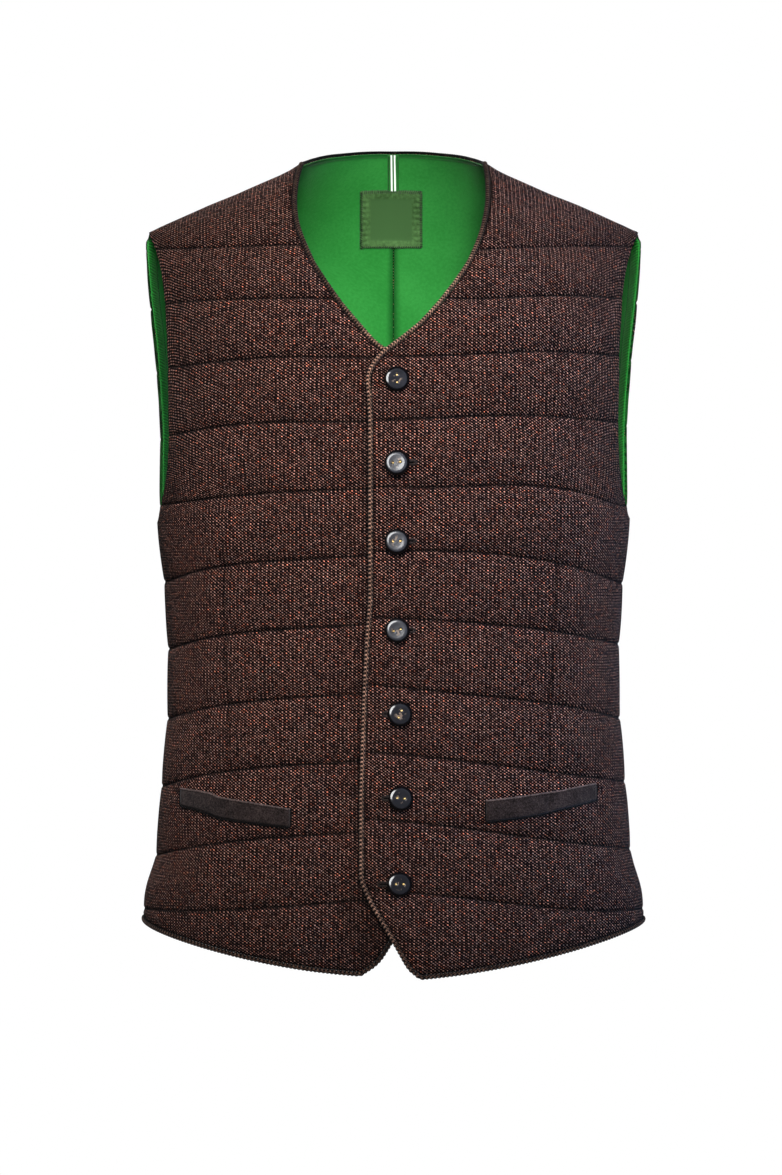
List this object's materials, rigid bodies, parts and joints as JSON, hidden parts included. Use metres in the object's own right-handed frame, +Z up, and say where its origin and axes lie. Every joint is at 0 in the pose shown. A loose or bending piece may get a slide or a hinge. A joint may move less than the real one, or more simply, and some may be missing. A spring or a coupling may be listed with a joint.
{
  "type": "quilted waistcoat",
  "caption": "Sleeveless quilted tweed waistcoat with a V neck, cord piping, horn buttons, welt pockets and a plain lining, filled out as if worn",
  "frame": {"origin": "midway between the two points where the shoulder seams meet the neck, where a hanger or a wearer's shoulders hold the garment", "axes": "+Z up along the body, -Y out of the front, +X towards the wearer's left"},
  "size_m": [0.4029, 0.2597, 0.6605],
  "materials": {
    "tweed": "matt brown knit-look wool tweed, quilted",
    "lining": "smooth green cotton lining",
    "cord": "twisted brown and beige wool cord",
    "felt": "matt dark brown wool felt",
    "horn": "polished black horn",
    "patch": "woven dark green patch",
    "tape": "woven green tape with white stripes"
  },
  "bodies": {
    "root": {"front_left": "tweed", "front_right": "tweed", "back": "tweed", "lining_back_left": "lining", "lining_back_right": "lining", "piping_front_left": "cord", "piping_front_right": "cord", "piping_back_neck": "cord", "pocket_welt_left": "felt", "pocket_welt_right": "felt", "button_1": "horn", "button_2": "horn", "button_3": "horn", "button_4": "horn", "button_5": "horn", "button_6": "horn", "button_7": "horn", "neck_label": "patch", "neck_tape": "tape"}
  },
  "joints": []
}
